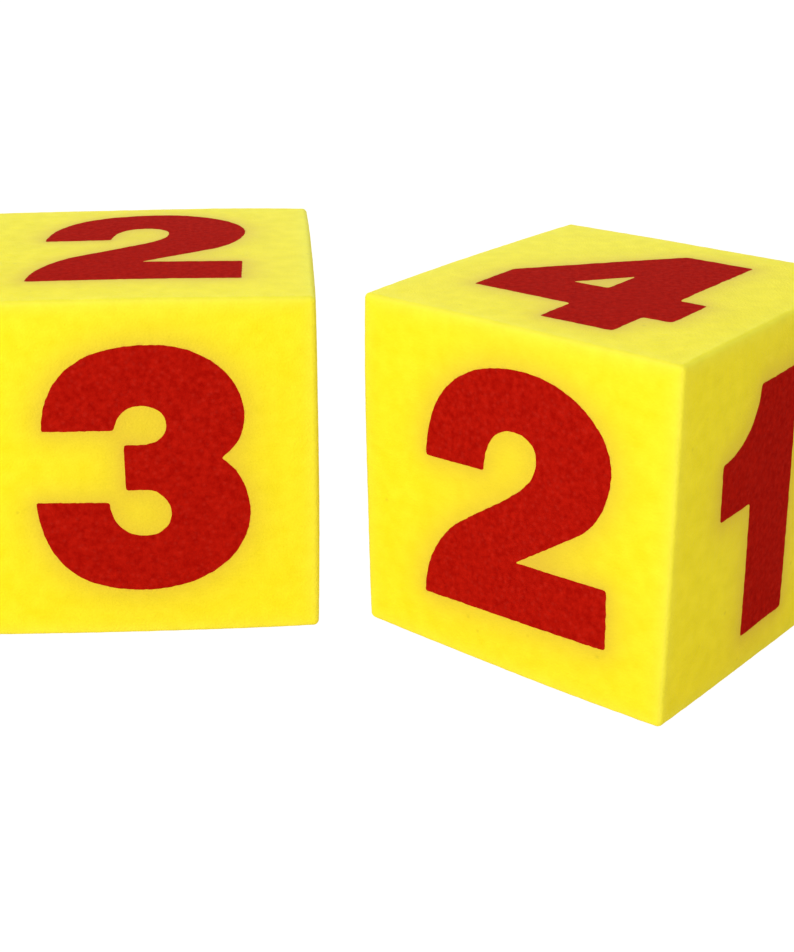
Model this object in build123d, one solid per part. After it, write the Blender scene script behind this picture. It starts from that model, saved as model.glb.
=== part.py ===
"""Two large soft foam number dice, lying side by side as they were thrown.

Each die is a yellow foam cube with softly rounded edges. Every face has a pocket cut to the outline of
a numeral, and a red foam numeral fills the pocket and finishes flush with the face. Each block and each
numeral is one node. Millimetres, +Z up, origin on the ground under the middle of the pair.
"""
from build123d import *
import os
from math import cos, radians, sin

# A die
EDGE = 127.0  # length of a die's edge: 5 inches
EDGE_RADIUS = 2.0  # rounding of the block's cut edges
NUMERAL_DEPTH = 5.0  # how far a numeral is let into its face

# Where the right die lies, seen from the left die, which is square to the axes
RIGHT_DIE_SHIFT_X = 170.5
RIGHT_DIE_SHIFT_Y = -56.0
RIGHT_DIE_YAW = -42.9  # degrees, turned clockwise as seen from above

# Each numeral sits on one face of a die: the way the face looks out, and the way the numeral's top points.
# Read upright in turn, 3, 2, 4 and 5 run round the die, with 1 and 6 at the ends of their axis.
FACES = {
    1: ((1, 0, 0), (0, 0, 1)),
    2: ((0, -1, 0), (0, 0, 1)),
    3: ((0, 0, -1), (0, -1, 0)),
    4: ((0, 0, 1), (0, 1, 0)),
    5: ((0, 1, 0), (0, 0, -1)),
    6: ((-1, 0, 0), (0, 0, 1)),
}
LEFT_DIE_ROLL = -90.0  # degrees about X: the left die has rolled on by one face, from 4 on top to 2

# How far a numeral was set from the middle of its face, to its right and up, and its turn in degrees.
# The others are set true.
LEFT_DIE_SETTING = {2: (-0.2, 4.9, 0.0), 3: (1.1, 1.0, 0.0)}
RIGHT_DIE_SETTING = {1: (-9.3, -2.8, 1.5), 2: (1.8, 3.5, 1.2), 4: (0.2, -2.7, 1.0)}
SET_TRUE = (0.0, 0.0, 0.0)

# Numeral outlines, clockwise and closed, about the middle of the numeral's own box. A step of one point
# is a straight line to it. A step of three points is a cubic curve: two handles, and the point it ends on.
ONE = [
    [(24.3, 46.2)],
    [(24.3, -46.2)],
    [(-4.5, -46.2)],
    [(-4.5, 4.7)],
    [(-24.3, 4.7)],
    [(-24.3, 25.3)],
    [(-12.7, 25.3), (-2.2, 33.4), (-1.0, 46.2)],
]
TWO = [
    [(-35.6, 34.0), (-20.0, 45.6), (3.0, 45.6)],
    [(22.0, 45.6), (38.8, 32.5), (38.8, 17.6)],
    [(38.8, 8.5), (33.9, -2.2), (26.9, -6.7)],
    [(1.5, -23.3)],
    [(38.2, -23.3)],
    [(38.2, -45.5)],
    [(-38.2, -45.5)],
    [(-37.8, -32.0), (-30.3, -19.7), (-21.3, -13.7)],
    [(-6.1, -3.5)],
    [(3.3, 2.8), (9.8, 8.0), (9.8, 15.5)],
    [(9.8, 20.5), (6.0, 23.9), (0.5, 23.9)],
    [(-7.0, 23.9), (-11.0, 18.5), (-11.7, 7.5)],
    [(-36.4, 7.5)],
]
THREE = [
    [(-33.0, 38.0), (-18.0, 46.5), (4.2, 46.5)],
    [(24.0, 46.5), (36.8, 35.0), (36.8, 20.2)],
    [(36.8, 13.0), (33.5, 7.5), (28.2, 4.2)],
    [(34.5, 0.0), (37.9, -8.0), (37.9, -16.3)],
    [(37.9, -33.0), (22.0, -46.5), (0.2, -46.5)],
    [(-23.0, -46.5), (-36.3, -37.0), (-37.8, -11.4)],
    [(-11.8, -11.8)],
    [(-11.3, -20.7), (-6.5, -25.0), (0.7, -25.0)],
    [(5.8, -25.0), (10.0, -21.0), (10.0, -16.5)],
    [(10.0, -11.9), (6.5, -7.2), (1.2, -7.2)],
    [(-5.8, -7.2)],
    [(-5.8, 10.0)],
    [(0.2, 10.0)],
    [(6.0, 10.0), (9.5, 12.9), (9.5, 17.3)],
    [(9.5, 21.8), (6.0, 24.4), (0.5, 24.4)],
    [(-4.6, 24.4), (-8.3, 21.0), (-8.8, 15.5)],
    [(-34.3, 15.5)],
]
FOUR = [
    [(29.4, 46.2)],
    [(28.4, -4.7)],
    [(38.9, -4.5)],
    [(38.4, -27.4)],
    [(27.8, -28.0)],
    [(27.0, -45.6)],
    [(-0.4, -46.2)],
    [(0.2, -28.6)],
    [(-38.9, -29.0)],
    [(-38.9, -5.6)],
    [(2.5, 46.2)],
]
FIVE = [
    [(33.5, 46.2)],
    [(33.5, 25.5)],
    [(-8.5, 25.5)],
    [(-10.8, 12.8)],
    [(-6.0, 16.5), (1.0, 18.0), (8.0, 18.0)],
    [(26.0, 18.0), (37.5, 5.0), (37.5, -13.0)],
    [(37.5, -33.0), (21.0, -46.4), (0.0, -46.4)],
    [(-23.0, -46.4), (-35.8, -36.0), (-37.3, -16.5)],
    [(-12.0, -16.5)],
    [(-11.0, -22.5), (-6.0, -26.0), (0.5, -26.0)],
    [(7.5, -26.0), (11.0, -21.0), (11.0, -14.5)],
    [(11.0, -8.0), (7.5, -3.5), (0.5, -3.5)],
    [(-5.0, -3.5), (-9.0, -5.0), (-11.5, -8.5)],
    [(-35.0, -5.0)],
    [(-28.0, 46.2)],
]
SIX = [
    [(33.5, 37.0), (19.0, 46.4), (1.0, 46.4)],
    [(-24.0, 46.4), (-38.0, 27.0), (-38.0, -1.0)],
    [(-38.0, -29.0), (-22.0, -46.4), (0.5, -46.4)],
    [(23.0, -46.4), (38.0, -34.0), (38.0, -15.5)],
    [(38.0, 3.0), (24.0, 14.5), (8.0, 14.5)],
    [(1.0, 14.5), (-6.5, 12.0), (-11.0, 7.0)],
    [(-10.5, 20.0), (-6.5, 26.0), (0.5, 26.0)],
    [(6.0, 26.0), (9.8, 24.0), (10.8, 19.5)],
    [(35.8, 19.5)],
]
OUTLINES = {1: ONE, 2: TWO, 3: THREE, 4: FOUR, 5: FIVE, 6: SIX}

# The islands of yellow foam inside the 4 and the 6, drawn the same way
FOUR_ISLAND = [
    [(0.9, -5.4)],
    [(-12.9, -6.1)],
    [(1.3, 11.9)],
]
SIX_ISLAND = [
    [(0.5, -4.0), (11.0, -9.0), (11.0, -15.5)],
    [(11.0, -22.0), (6.5, -27.0), (0.5, -27.0)],
    [(-5.5, -27.0), (-10.0, -22.0), (-10.0, -15.5)],
    [(-10.0, -9.0), (-5.5, -4.0), (0.5, -4.0)],
]
ISLANDS = {4: FOUR_ISLAND, 6: SIX_ISLAND}


def flat_shape(steps):
    """The flat face inside a closed outline."""
    sides = []
    start = steps[-1][-1]
    for step in steps:
        points = [start, *step]
        is_line = len(step) == 1
        sides.append(Line(*points) if is_line else Bezier(*points))
        start = step[-1]
    return make_face(sides)


def make_numeral(number, setting):
    """A numeral as deep as its pocket, flush with its face of a die centred on the origin."""
    shape = flat_shape(OUTLINES[number])
    if number in ISLANDS:
        shape -= flat_shape(ISLANDS[number])
    right, up, turn = setting
    outward, top = (Vector(*direction) for direction in FACES[number])
    face = Plane(origin=outward * (EDGE / 2), x_dir=top.cross(outward), z_dir=outward)
    return extrude(face * Pos(right, up) * Rot(0, 0, turn) * shape, amount=-NUMERAL_DEPTH)


def make_block(numerals):
    """The foam cube, less the pockets that the numerals fill."""
    cube = Box(EDGE, EDGE, EDGE)
    return fillet(cube.edges(), EDGE_RADIUS) - numerals


def make_die(name, settings, place):
    """One die's node names and solids, put in its place."""
    numerals = {number: make_numeral(number, settings.get(number, SET_TRUE)) for number in FACES}
    die = {f"{name}_block": place * make_block(list(numerals.values()))}
    for number, numeral in numerals.items():
        die[f"{name}_numeral_{number}"] = place * numeral
    return die


def half_span(yaw):
    """Half of a die's extent along X or Y when it is turned by yaw."""
    flat_half = EDGE / 2 - EDGE_RADIUS
    return flat_half * (abs(cos(radians(yaw))) + abs(sin(radians(yaw)))) + EDGE_RADIUS


def middle_of_pair():
    """The middle of the pair's box, from the left die's centre."""
    right_half = half_span(RIGHT_DIE_YAW)
    middle_x = (RIGHT_DIE_SHIFT_X + right_half - EDGE / 2) / 2
    middle_y = (RIGHT_DIE_SHIFT_Y - right_half + EDGE / 2) / 2
    return middle_x, middle_y


def make_pair():
    """Every node of both dice."""
    middle_x, middle_y = middle_of_pair()
    left_centre = Pos(-middle_x, -middle_y, EDGE / 2)
    right_centre = left_centre * Pos(RIGHT_DIE_SHIFT_X, RIGHT_DIE_SHIFT_Y)
    left_die = make_die("left_die", LEFT_DIE_SETTING, left_centre * Rot(LEFT_DIE_ROLL, 0, 0))
    right_die = make_die("right_die", RIGHT_DIE_SETTING, right_centre * Rot(0, 0, RIGHT_DIE_YAW))
    return {**left_die, **right_die}


os.makedirs("parts", exist_ok=True)
for node, solid in make_pair().items():
    export_step(solid, f"parts/{node}.step")
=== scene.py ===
"""Two soft foam number dice: yellow foam cubes with red foam numerals set flush in all six faces.

The outlines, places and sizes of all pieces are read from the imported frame. Each die is rebuilt in its
own axes as one dense foam cube with real pockets and six dense numerals, given the small unevenness of
cut foam, and put back in its place. Lengths are in metres.
"""
from collections import namedtuple
from math import cos, pi, radians, sin, tan

import bmesh
import bpy
import numpy as np
from mathutils import Matrix, Vector, noise
from mathutils.geometry import delaunay_2d_cdt


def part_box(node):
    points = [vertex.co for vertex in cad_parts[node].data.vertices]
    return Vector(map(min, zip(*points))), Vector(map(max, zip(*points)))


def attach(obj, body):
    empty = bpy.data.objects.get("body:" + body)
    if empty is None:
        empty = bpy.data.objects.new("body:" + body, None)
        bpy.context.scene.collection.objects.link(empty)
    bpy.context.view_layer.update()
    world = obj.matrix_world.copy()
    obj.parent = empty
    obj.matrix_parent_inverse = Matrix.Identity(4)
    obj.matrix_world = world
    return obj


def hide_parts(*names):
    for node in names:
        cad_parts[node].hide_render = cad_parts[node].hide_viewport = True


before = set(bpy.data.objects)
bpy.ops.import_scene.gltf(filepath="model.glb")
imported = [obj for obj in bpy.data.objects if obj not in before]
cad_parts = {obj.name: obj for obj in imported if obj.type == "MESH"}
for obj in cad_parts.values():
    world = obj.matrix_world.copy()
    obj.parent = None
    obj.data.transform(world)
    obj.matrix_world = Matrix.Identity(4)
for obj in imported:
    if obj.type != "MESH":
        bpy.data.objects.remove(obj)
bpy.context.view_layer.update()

MM = 0.001
NOISE_SEED = 5  # without one, noise_vector gives other waves each run

# The camera, from the left die's centre on the ground
CAMERA_ASIDE = 0.0513
CAMERA_BACK = 0.6551
CAMERA_HEIGHT = 0.3049
CAMERA_HEADING = radians(3.91)  # clockwise from +Y
CAMERA_PITCH = radians(22.48)  # down
CAMERA_LENS_MM = 67.6
CAMERA_RANGE = (0.01, 50)  # nearest and farthest that it sees

# The light
SEEN_WHITE = 1.0  # the backdrop, as the camera sees it
AMBIENT = 0.59  # the backdrop, as the dice see it
FLOOR_REACH = 6.0
SEEN_FLOOR = {"colour": (0.3, 0.3, 0.3), "glow": 0.88}
LIGHT_FLOOR = {"colour": (0.84, 0.74, 0.60), "glow": 0.15}
LIGHTS_AIM = (0.06, 0, 0.06)
KEY_LIGHT = {"place": (-0.82, -1.2, 0.85), "size": 0.8, "power": 14.1, "colour": (1, 1, 1)}
BACK_LIGHT = {"place": (0.1, 1.3, 0.9), "size": 1.2, "power": 9.4, "colour": (0.85, 1, 0.95)}

# Foam
EDGE_RADIUS = 2.0 * MM  # rounding of a cube's edges
EDGE_STEPS = 4  # rows of faces across half of that rounding
FACE_STEP = 1.15 * MM  # distance between points on a face
OUTLINE_STEP = 1.0 * MM  # distance between points on a numeral's outline
START_SIDE = np.array((1, 3))  # an outline starts at its lowest point when this is up
OUTLINE_SMOOTHING = 1  # passes that round a numeral's cut corners
CLEAR_OF_OUTLINE = 0.55 * MM  # no face point lies nearer to an outline
POCKET_STEPS = 3  # rows of faces down a pocket's wall
CREASE = radians(50)  # a sharper fold than this, such as a cut, isn't shaded smooth
SAME_POINT = 0.001 * MM  # points nearer than this are one
SAME_FACE = 0.01 * MM  # how far a shown face's middle may be from its plane
CUT_TOLERANCE = 1e-9  # of the triangles laid between outlines

# Unevenness of cut foam: how far it goes, and the size of its waves
INSET = 0.1 * MM  # how far the corners stand inside the nominal cube
BELLY = 0.8 * MM  # how far the middle of a face bows out from there, and an edge half as far
CROWN, CROWN_FADE = 0.35 * MM, 9 * MM  # how far a face stands proud of its edges besides
BOW, BOW_WAVE = 0.3 * MM, 60 * MM
SKIN, SKIN_WAVE = 0.07 * MM, 2.6 * MM
WORN_EDGE, WORN_EDGE_WAVE = 0.25 * MM, 9 * MM
RAGGED, RAGGED_WAVE = 0.22 * MM, 1.7 * MM

# Corners of the soft dice that are out of true: which corner, from its die's centre, and its way in mm
PULLED_CORNERS = {
    "left_die": [((1, -1, 1), (0.3, 0, 0)), ((1, -1, -1), (-0.8, -0.6, 0)), ((-1, 1, 1), (0, 0, -0.2))],
    "right_die": [((-1, 0, 1), (-0.9, 0, 0)), ((-1, 0, -1), (0.8, 0, 0.9)), ((0, 1, 1), (0, 0, -0.8)),
                  ((1, 0, 1), (0, 0, 0.7)), ((1, 0, -1), (-0.2, 0.2, 0)), ((0, -1, -1), (-0.5, -0.4, 0))],
}

# Painted shade beside a numeral and a painted highlight along an edge in the yellow foam, standing in for
# light carried through the foam: how strong they are, and how fast they fade
HALO_SHARE = 0.68  # beside a straight outline; it is stronger where outlines close round the foam
HALO_FADE = 4.2 * MM
EDGE_HIGHLIGHT_SHARE = 0.4
EDGE_HIGHLIGHT_FADE = 2.8 * MM

# Colours of the foam, and the sizes of what varies them
YELLOW_DARK, YELLOW_LIGHT = (0.89, 0.765, 0.009), (0.965, 0.835, 0.018)
# painted shade beside the numerals, a painted highlight along the edges, and painted shade in the pits
YELLOW_HALO_SHADE, YELLOW_EDGE_HIGHLIGHT, YELLOW_PIT_SHADE = (0.72, 0.515, 0.040), (0.88, 0.89, 0.13), (0.42, 0.33, 0.02)
YELLOW_MOTTLE, YELLOW_PIT_GAP = 6 * MM, 15 * MM
RED_DARK, RED_LIGHT, RED_FLECK = (0.33, 0.003, 0.001), (0.45, 0.008, 0.003), (0.55, 0.035, 0.022)
RED_MOTTLE, RED_FLECK_GAP = 2.1 * MM, 2.4 * MM
MOTTLE_RANGE = (0.3, 0.7)  # the part of the noise over which a mottled colour goes from dark to light
YELLOW_PIT_RANGE, YELLOW_PIT_SHARE = (0.02, 0.07), 0.22  # where a pit fades out, and how dark it is
RED_FLECK_RANGE, RED_FLECK_SHARE = (0.08, 0.4), 0.15  # where a fleck fades out, and how pale it is
FOAM_CELL = 0.9 * MM
CELL_DEPTH, CELL_RELIEF = 0.25 * MM, 0.5  # how deep cells are, and how strongly they show
GRAIN_SHARE = 0.6  # height of the grain inside a cell against the cell's own

Die = namedtuple("Die", "name centre axes half numerals")


# ---- reading the frame ----

def shown_face(node, centre):
    """The way a numeral's shown face looks out, and how far it is from the die's centre."""
    def distance(polygon):
        return (polygon.center - centre).dot(polygon.normal)
    outermost = max(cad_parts[node].data.polygons, key=distance)
    return outermost.normal.copy(), distance(outermost)


def read_die(name):
    """A die's centre, its own axes as a matrix, half its edge, and its numerals' node names."""
    low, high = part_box(f"{name}_block")
    centre = (low + high) / 2
    numerals = {number: f"{name}_numeral_{number}" for number in range(1, 7)}
    along_x, half = shown_face(numerals[1], centre)
    along_z, _ = shown_face(numerals[4], centre)
    axes = Matrix((along_x, along_z.cross(along_x), along_z)).transposed()
    return Die(name, centre, axes, half, numerals)


def pocket_depth(node, die, outward):
    """How far a numeral reaches in from its face, which looks outward in the die's axes."""
    out = die.axes @ Vector(outward)
    lowest = min((vertex.co - die.centre).dot(out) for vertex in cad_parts[node].data.vertices)
    return die.half - lowest


def face_axes(outward):
    """Two of a die's axes that lie in a face, so that the first crossed with the second looks out."""
    main = int(np.argmax(np.abs(outward)))
    first = np.eye(3)[(main + 1) % 3]
    second = np.eye(3)[(main + 2) % 3]
    if outward[main] < 0:
        first, second = second, first
    return first, second


def rim_loops(node, die, outward):
    """The closed outlines of a numeral's shown face: one array of points in the shared frame for each."""
    mesh = bmesh.new()
    mesh.from_mesh(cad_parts[node].data)
    bmesh.ops.remove_doubles(mesh, verts=mesh.verts, dist=SAME_POINT)
    shown = {face for face in mesh.faces
             if (face.calc_center_median() - die.centre).dot(outward) > die.half - SAME_FACE}
    beside = {}
    for edge in mesh.edges:
        if sum(face in shown for face in edge.link_faces) == 1:
            start, end = edge.verts
            beside.setdefault(start, []).append(end)
            beside.setdefault(end, []).append(start)
    loops = []
    while beside:
        here = next(iter(beside))
        loop = []
        while here in beside:
            loop.append(here.co.copy())
            here = next((end for end in beside.pop(here) if end in beside), None)
        loops.append(np.array(loop))
    mesh.free()
    return loops


# ---- outlines ----

def signed_area(loop):
    """The area inside a closed outline, negative where it is listed clockwise."""
    x, y = loop.T
    return np.sum(x * np.roll(y, -1) - y * np.roll(x, -1)) / 2


def in_order(loop):
    """The same closed outline, listed anticlockwise from one corner, however the mesh was walked."""
    if signed_area(loop) < 0:
        loop = loop[::-1]
    start = np.argmin(loop @ START_SIDE)
    return np.roll(loop, -start, axis=0)


def evenly_spaced(loop):
    """The same closed outline, with its points about one outline step apart."""
    closed = np.vstack((loop, loop[:1]))
    lengths = np.hypot(*np.diff(closed, axis=0).T)
    along = np.concatenate(([0], np.cumsum(lengths)))
    count = int(round(along[-1] / OUTLINE_STEP))
    places = np.arange(count) * along[-1] / count
    return np.column_stack([np.interp(places, along, closed[:, k]) for k in (0, 1)])


def softened(loop):
    """An outline with its corners rounded a little, as a cutting die leaves them in foam."""
    for _ in range(OUTLINE_SMOOTHING):
        loop = (np.roll(loop, 1, axis=0) + 2 * loop + np.roll(loop, -1, axis=0)) / 4
    return loop


def ragged(loop, seed):
    """An outline that wanders by the size of the foam's cells."""
    shift = [noise.noise_vector(Vector((x / RAGGED_WAVE, y / RAGGED_WAVE, seed))) for x, y in loop]
    return loop + RAGGED * np.array(shift)[:, :2]


def read_outlines(node, die, outward_local, number):
    """A numeral's outlines in the axes of its face."""
    outward = die.axes @ Vector(outward_local)
    first, second = (np.array(die.axes @ Vector(axis)) for axis in face_axes(outward_local))
    loops = []
    for loop in rim_loops(node, die, outward):
        from_centre = loop - np.array(die.centre)
        loops.append(in_order(np.column_stack((from_centre @ first, from_centre @ second))))
    loops.sort(key=signed_area, reverse=True)
    even = [softened(evenly_spaced(loop)) for loop in loops]
    return [ragged(loop, seed) for seed, loop in enumerate(even, start=10 * number)]


def distance_to(outlines, points):
    """How far each point is from the nearest outline point."""
    nearest = np.full(len(points), np.inf)
    for x, y in np.vstack(outlines):
        np.minimum(nearest, np.hypot(points[:, 0] - x, points[:, 1] - y), out=nearest)
    return nearest


def halo(outlines, points):
    """How strongly each point takes painted shade from the outlines round it: light lost into the red
    foam, tinted by the red light it gives back.
    """
    total = np.zeros(len(points))
    for x, y in np.vstack(outlines):
        total += np.exp(-np.hypot(points[:, 0] - x, points[:, 1] - y) / HALO_FADE)
    return HALO_SHARE * total * OUTLINE_STEP / (2 * HALO_FADE)


def inside(outlines, points):
    """Whether each point is inside a numeral: it has an odd number of outline crossings to its right."""
    crossings = np.zeros(len(points), int)
    for loop in outlines:
        for (x0, y0), (x1, y1) in zip(loop, np.roll(loop, -1, axis=0)):
            spans = (points[:, 1] < y0) != (points[:, 1] < y1)
            crossing_x = x0 + (points[:, 1] - y0) * (x1 - x0) / (y1 - y0 if y1 != y0 else 1)
            crossings += spans & (points[:, 0] < crossing_x)
    return crossings % 2 == 1


# ---- one face of a die, cut along its numeral's outlines ----

def grid_lines(half):
    """Where points lie along a face: close together over the rounded edges, even between them."""
    flat_half = half - EDGE_RADIUS
    rounding = [EDGE_RADIUS * tan(pi / 4 * step / EDGE_STEPS) for step in range(1, EDGE_STEPS + 1)]
    even = np.linspace(-flat_half, flat_half, int(round(2 * flat_half / FACE_STEP)) + 1)
    beyond = flat_half + np.array(rounding)
    return np.concatenate((-beyond[::-1], even, beyond))


def triangulated(points, loops):
    """Triangles over all the points, with every outline kept as edges of them."""
    constraints = []
    start = 0
    for loop in loops:
        count = len(loop)
        constraints += [(start + k, start + (k + 1) % count) for k in range(count)]
        start += count
    vectors = [Vector(point) for point in points]
    flat, _, triangles, *_ = delaunay_2d_cdt(vectors, constraints, [], 0, CUT_TOLERANCE, False)
    return np.array(flat), np.array(triangles)


class Piece:
    """Points in a die's own axes and the faces between them, gathered sheet by sheet."""

    def __init__(self):
        self.points, self.faces, self.traces, self.count = [], [], [], 0

    def add(self, points, faces, traces):
        """Adds one sheet of points, its faces, and each point's painted halo shade and painted edge
        highlight values.
        """
        self.points.append(points)
        self.faces += [tuple(int(k) + self.count for k in face) for face in faces]
        self.traces.append(traces)
        self.count += len(points)


def no_traces(points):
    """No painted halo shade and no painted edge highlight at any of the points."""
    return np.zeros((len(points), 2))


def onto_skin(points, half):
    """Points on a sharp cube, moved onto the rounded cube and its fine unevenness."""
    inner = np.clip(points, EDGE_RADIUS - half, half - EDGE_RADIUS)
    out = points - inner
    out /= np.linalg.norm(out, axis=1)[:, None]
    height = [SKIN * noise.noise(Vector(point / SKIN_WAVE)) for point in points]
    return inner + (EDGE_RADIUS + np.array(height))[:, None] * out


def onto_face(flat, outward, height):
    """Points of a face's own plane at a height above the die's centre, in the die's axes."""
    first, second = face_axes(outward)
    return flat[:, :1] * first + flat[:, 1:] * second + height * outward


def add_cap(piece, die, flat, faces, outward, outlines, is_block):
    """The shown sheet of the block or of a numeral."""
    used = np.unique(faces)
    renumber = np.zeros(len(flat), int)
    renumber[used] = np.arange(len(used))
    points = onto_skin(onto_face(flat[used], outward, die.half), die.half)
    traces = no_traces(points)
    if is_block:
        # painted shade near the numeral, and a painted highlight along the cube's edges
        from_edge = die.half - np.abs(flat[used]).max(axis=1)
        traces[:, 0] = halo(outlines, flat[used])
        traces[:, 1] = np.exp(-from_edge / EDGE_HIGHLIGHT_FADE)
    piece.add(points, renumber[faces], traces)


def add_pocket(piece, die, outlines, outward, depth, is_block):
    """The walls down from the outlines and the sheet across their foot, at the pocket's depth."""
    for loop in outlines:
        count = len(loop)
        turned = np.roll(np.arange(count), -1)
        top = onto_skin(onto_face(loop, outward, die.half), die.half)
        foot = onto_face(loop, outward, die.half - depth)
        shares = np.linspace(0, 1, POCKET_STEPS + 1)
        rows = np.vstack([top + share * (foot - top) for share in shares])
        walls = []
        for row in range(POCKET_STEPS):
            for here, there in zip(range(count), turned):
                walls.append((row * count + here, (row + 1) * count + here,
                              (row + 1) * count + there, row * count + there))
        traces = no_traces(rows)
        # the block's pocket walls take the full painted halo shade
        traces[:, 0] = float(is_block)
        piece.add(rows, walls, traces)
    flat, faces = triangulated(np.vstack(outlines), outlines)
    faces = faces[inside(outlines, flat[faces].mean(axis=1))]
    foot = onto_face(flat, outward, die.half - depth)
    traces = no_traces(foot)
    # the block's pocket foot takes the full painted halo shade
    traces[:, 0] = float(is_block)
    piece.add(foot, faces, traces)


def add_face(block, numeral, die, number):
    """Cuts one face of a die along its numeral's outlines, and adds both sides' sheets."""
    node = die.numerals[number]
    outward = np.round(np.array(die.axes.transposed() @ shown_face(node, die.centre)[0]))
    outlines = read_outlines(node, die, outward, number)
    lines = grid_lines(die.half)
    grid = np.array([(x, y) for x in lines for y in lines])
    grid = grid[distance_to(outlines, grid) > CLEAR_OF_OUTLINE]
    flat, faces = triangulated(np.vstack([*outlines, grid]), outlines)
    in_numeral = inside(outlines, flat[faces].mean(axis=1))
    depth = pocket_depth(node, die, outward)
    add_cap(block, die, flat, faces[~in_numeral], outward, outlines, True)
    add_cap(numeral, die, flat, faces[in_numeral], outward, outlines, False)
    add_pocket(block, die, outlines, outward, depth, True)
    add_pocket(numeral, die, outlines, outward, depth, False)


# ---- the unevenness of a whole die, and its place ----

def crowned(points, half):
    """Points of a die moved out: faces stand proud of their edges, and edges bow between their corners."""
    rise = 1 - np.exp(-np.clip(half - np.abs(points), 0, None) / CROWN_FADE)
    bow = 1 - (points / half) ** 2
    outward = np.full(points.shape, -INSET)
    for axis in range(3):
        beside, across = (axis + 1) % 3, (axis + 2) % 3
        outward[:, axis] += CROWN * rise[:, beside] * rise[:, across]
        outward[:, axis] += BELLY * (bow[:, beside] + bow[:, across]) / 2
    return points * (1 + outward / half)


def pulled(points, die):
    """Points of a die moved with its corners that are out of true."""
    moved = points.copy()
    for towards, way in PULLED_CORNERS[die.name]:
        corner = np.sign(die.axes.transposed() @ Vector(towards))
        share = np.prod((1 + corner * points / die.half) / 2, axis=1)
        moved += share[:, None] * np.array(die.axes.transposed() @ Vector(way)) * MM
    return moved


def bowed(points, seed):
    """Points of a die moved by slow waves, so that no face is quite flat nor edge quite straight."""
    shift = [noise.noise_vector(Vector(point / BOW_WAVE) + Vector((seed, 0, 0))) for point in points]
    return points + BOW * np.array(shift)


def worn(points, half, seed):
    """Points near a cube's edges moved in by short waves, as handling wears foam."""
    by_size = np.sort(np.abs(points), axis=1)
    near_edge = np.exp(-(half - by_size[:, 1]) / EDGE_RADIUS)
    wear = [noise.noise(Vector(point / WORN_EDGE_WAVE) + Vector((0, seed, 0))) for point in points]
    inward = -points / np.linalg.norm(points, axis=1)[:, None]
    return points + (WORN_EDGE * near_edge * np.abs(wear))[:, None] * inward


def put_in_place(points, die):
    """Points in a die's own axes moved into the shared frame, resting flat on the ground."""
    seed = len(die.name)  # each die gets waves of its own
    points = pulled(bowed(crowned(worn(points, die.half, seed), die.half), seed), die)
    placed = points @ np.array(die.axes).T + np.array(die.centre)
    placed[:, 2] = np.maximum(placed[:, 2], 0)
    return placed


def make_object(name, piece, die, material):
    """A Blender object from a gathered piece: joined sheets, hard creases only along the cuts."""
    mesh = bpy.data.meshes.new(name)
    points = put_in_place(np.vstack(piece.points), die)
    mesh.from_pydata(points.tolist(), [], piece.faces)
    traces = np.vstack(piece.traces)
    # the painted halo shade and painted edge highlight, kept on the points for the shader
    for column, trace in enumerate(("halo", "pale_edge")):
        attribute = mesh.attributes.new(trace, "FLOAT", "POINT")
        attribute.data.foreach_set("value", traces[:, column].astype(np.float32))
    joined = bmesh.new()
    joined.from_mesh(mesh)
    bmesh.ops.remove_doubles(joined, verts=joined.verts, dist=SAME_POINT)
    bmesh.ops.recalc_face_normals(joined, faces=joined.faces)
    for face in joined.faces:
        face.smooth = True
    for edge in joined.edges:
        edge.smooth = edge.calc_face_angle(0) < CREASE
    joined.to_mesh(mesh)
    joined.free()
    mesh.materials.append(material)
    piece_object = bpy.data.objects.new(name, mesh)
    bpy.context.scene.collection.objects.link(piece_object)
    return piece_object


def make_die(die, yellow, red):
    """One die: a foam block that stands for its CAD node, and six numerals that stand for theirs."""
    block = Piece()
    made = []
    for number, node in die.numerals.items():
        numeral = Piece()
        add_face(block, numeral, die, number)
        made.append((f"{node}_foam", numeral, node, red, "red_foam"))
    made.append((f"{die.name}_block_foam", block, f"{die.name}_block", yellow, "yellow_foam"))
    for name, piece, node, material, slot in made:
        foam = make_object(name, piece, die, material)
        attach(foam, die.name)
        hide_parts(node)


# ---- materials ----

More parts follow.
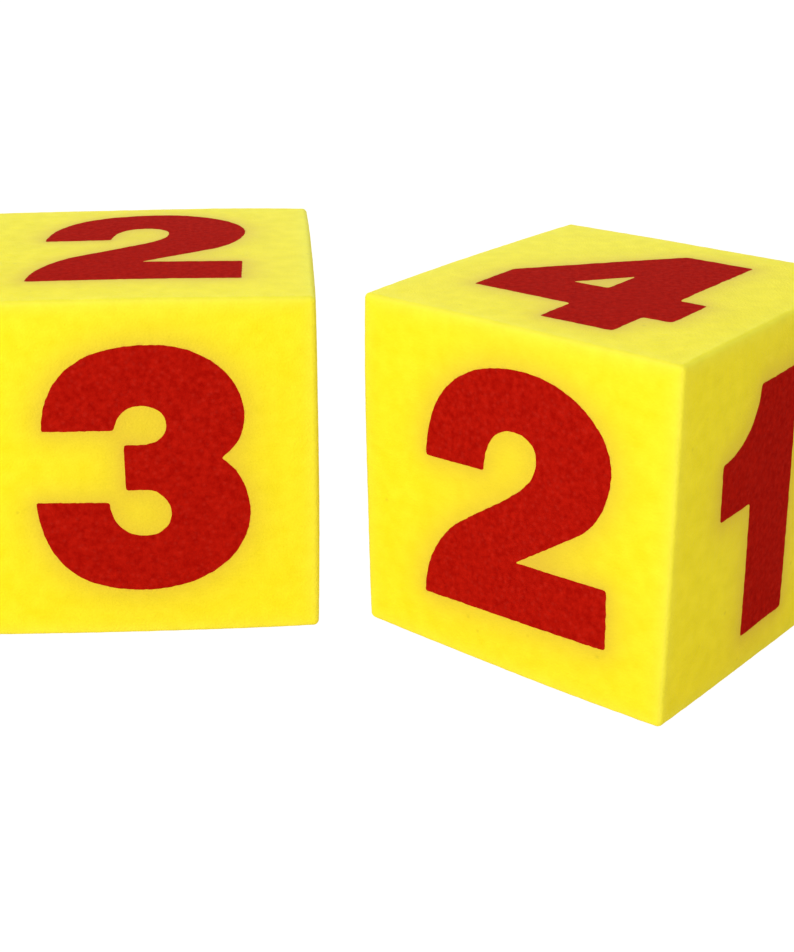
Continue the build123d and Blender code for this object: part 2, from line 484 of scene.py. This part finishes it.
class Nodes:
    """A material's node tree, with short ways to add and join nodes."""

    def __init__(self, name):
        self.material = bpy.data.materials.new(name)
        self.material.use_nodes = True
        self.tree = self.material.node_tree
        self.shader = self.tree.nodes["Principled BSDF"]

    def add(self, kind, **settings):
        node = self.tree.nodes.new(kind)
        for name, value in settings.items():
            setattr(node, name, value)
        return node

    def join(self, output, target):
        self.tree.links.new(output, target)

    def place(self):
        return self.add("ShaderNodeTexCoord").outputs["Object"]

    def trace(self, name):
        return self.add("ShaderNodeAttribute", attribute_name=name).outputs["Fac"]

    def noise(self, size, detail=2.0):
        """Noise whose blotches are about size across."""
        node = self.add("ShaderNodeTexNoise")
        node.inputs["Scale"].default_value = 1 / size
        node.inputs["Detail"].default_value = detail
        self.join(self.place(), node.inputs["Vector"])
        return node.outputs["Fac"]

    def cells(self, size):
        """Distances from the middles of cells that are about size across."""
        node = self.add("ShaderNodeTexVoronoi")
        node.inputs["Scale"].default_value = 1 / size
        self.join(self.place(), node.inputs["Vector"])
        return node.outputs["Distance"]

    def mapped(self, value, before, after):
        """A value moved from one range into another, and kept in it."""
        node = self.add("ShaderNodeMapRange")
        for side, ends in (("From", before), ("To", after)):
            node.inputs[f"{side} Min"].default_value, node.inputs[f"{side} Max"].default_value = ends
        self.join(value, node.inputs["Value"])
        return node.outputs["Result"]

    def math(self, operation, first, second):
        node = self.add("ShaderNodeMath", operation=operation)
        for socket, value in zip(node.inputs, (first, second)):
            if isinstance(value, (int, float)):
                socket.default_value = value
            else:
                self.join(value, socket)
        return node.outputs[0]

    def mixed(self, share, first, second):
        """Two colours mixed by a share that is a node's output."""
        node = self.add("ShaderNodeMix", data_type="RGBA")
        colours = [socket for socket in node.inputs if socket.type == "RGBA"]
        factor = next(socket for socket in node.inputs if socket.type == "VALUE")
        for socket, value in zip((factor, *colours), (share, first, second)):
            if isinstance(value, tuple):
                socket.default_value = (*value, 1)
            else:
                self.join(value, socket)
        return next(socket for socket in node.outputs if socket.type == "RGBA")

    def bump(self, height, distance, strength):
        node = self.add("ShaderNodeBump")
        node.inputs["Distance"].default_value = distance
        node.inputs["Strength"].default_value = strength
        self.join(height, node.inputs["Height"])
        self.join(node.outputs["Normal"], self.shader.inputs["Normal"])

    def colour(self, output):
        self.join(output, self.shader.inputs["Base Color"])

    def set(self, values):
        """Sets the shader's own sockets by name."""
        for name, value in values.items():
            self.shader.inputs[name].default_value = value


def add_foam_relief(nodes):
    """The relief of open foam: rounded cells of one size, with finer grain in them."""
    cells = nodes.cells(FOAM_CELL)
    grain = nodes.noise(FOAM_CELL / 2)
    height = nodes.math("ADD", cells, nodes.math("MULTIPLY", grain, GRAIN_SHARE))
    nodes.bump(height, CELL_DEPTH, CELL_RELIEF)


def mottled(nodes, size, dark, light, detail):
    """A colour that goes from dark to light in blotches about size across."""
    return nodes.mixed(nodes.mapped(nodes.noise(size, detail), MOTTLE_RANGE, (0, 1)), dark, light)


def yellow_foam():
    """Bright yellow foam, with painted shade near the red numerals, a painted highlight along the edges
    where light comes through the foam, and painted shade in a few pits.
    """
    nodes = Nodes("yellow_foam_look")
    colour = mottled(nodes, YELLOW_MOTTLE, YELLOW_DARK, YELLOW_LIGHT, detail=5)
    # painted shade near the red numerals
    colour = nodes.mixed(nodes.trace("halo"), colour, YELLOW_HALO_SHADE)
    # painted highlight along the edges, for light coming through the foam
    pale_edge = nodes.math("MULTIPLY", nodes.trace("pale_edge"), EDGE_HIGHLIGHT_SHARE)
    colour = nodes.mixed(pale_edge, colour, YELLOW_EDGE_HIGHLIGHT)
    # painted shade in a few pits
    pit = nodes.mapped(nodes.cells(YELLOW_PIT_GAP), YELLOW_PIT_RANGE, (YELLOW_PIT_SHARE, 0))
    nodes.colour(nodes.mixed(pit, colour, YELLOW_PIT_SHADE))
    add_foam_relief(nodes)
    nodes.set({"Roughness": 0.5, "Specular IOR Level": 0.055})
    return nodes.material


def red_foam():
    """Matte red foam, mottled by its cells."""
    nodes = Nodes("red_foam_look")
    colour = mottled(nodes, RED_MOTTLE, RED_DARK, RED_LIGHT, detail=3)
    fleck = nodes.mapped(nodes.cells(RED_FLECK_GAP), RED_FLECK_RANGE, (RED_FLECK_SHARE, 0))
    nodes.colour(nodes.mixed(fleck, colour, RED_FLECK))
    add_foam_relief(nodes)
    nodes.set({"Roughness": 0.8, "Specular IOR Level": 0.01})
    return nodes.material


# ---- studio ----

def make_floor(name, seen, colour, glow):
    """A wide pale floor that only the camera sees, or that only gives light back to the dice."""
    mesh = bpy.data.meshes.new(name)
    corners = [(x * FLOOR_REACH, y * FLOOR_REACH, 0) for x, y in ((-1, -1), (1, -1), (1, 1), (-1, 1))]
    mesh.from_pydata(corners, [], [(0, 1, 2, 3)])
    nodes = Nodes(f"{name}_look")
    nodes.set({"Base Color": (*colour, 1), "Roughness": 1.0, "Specular IOR Level": 0.0})
    nodes.set({"Emission Color": (1, 1, 1, 1), "Emission Strength": glow})
    mesh.materials.append(nodes.material)
    floor = bpy.data.objects.new(name, mesh)
    floor.visible_camera = seen
    floor.visible_diffuse = not seen
    floor.visible_glossy = not seen
    floor.visible_shadow = not seen
    bpy.context.scene.collection.objects.link(floor)


def make_light(name, place, size, power, colour):
    """A square soft light that looks at the dice."""
    light = bpy.data.lights.new(name, "AREA")
    light.size = size
    light.energy = power
    light.color = colour
    lamp = bpy.data.objects.new(name, light)
    lamp.location = place
    lamp.rotation_euler = (Vector(LIGHTS_AIM) - Vector(place)).to_track_quat("-Z", "Y").to_euler()
    bpy.context.scene.collection.objects.link(lamp)


def make_world():
    """A white backdrop all round, and the even light that it gives."""
    world = bpy.data.worlds.new("studio")
    world.use_nodes = True
    background = world.node_tree.nodes["Background"]
    path = world.node_tree.nodes.new("ShaderNodeLightPath")
    strength = world.node_tree.nodes.new("ShaderNodeMapRange")
    strength.inputs["To Min"].default_value = AMBIENT
    strength.inputs["To Max"].default_value = SEEN_WHITE
    world.node_tree.links.new(path.outputs["Is Camera Ray"], strength.inputs["Value"])
    world.node_tree.links.new(strength.outputs["Result"], background.inputs["Strength"])
    background.inputs["Color"].default_value = (1, 1, 1, 1)
    bpy.context.scene.world = world


def make_camera(left_centre):
    """The camera in front of the pair, looking a little down."""
    camera = bpy.data.objects.new("camera", bpy.data.cameras.new("camera"))
    camera.data.lens = CAMERA_LENS_MM
    camera.location = (left_centre.x + CAMERA_ASIDE, left_centre.y - CAMERA_BACK, CAMERA_HEIGHT)
    ahead = Vector((sin(CAMERA_HEADING), cos(CAMERA_HEADING), -tan(CAMERA_PITCH)))
    camera.rotation_euler = ahead.to_track_quat("-Z", "Y").to_euler()
    camera.data.clip_start, camera.data.clip_end = CAMERA_RANGE
    bpy.context.scene.collection.objects.link(camera)
    bpy.context.scene.camera = camera


noise.seed_set(NOISE_SEED)
left_die = read_die("left_die")
right_die = read_die("right_die")
make_camera(left_die.centre)
make_world()
make_floor("floor", True, **SEEN_FLOOR)
make_floor("floor_light", False, **LIGHT_FLOOR)
make_light("key", **KEY_LIGHT)
make_light("back", **BACK_LIGHT)

yellow = yellow_foam()
red = red_foam()
for die in (left_die, right_die):
    make_die(die, yellow, red)

bpy.context.scene.view_settings.view_transform = "Standard"
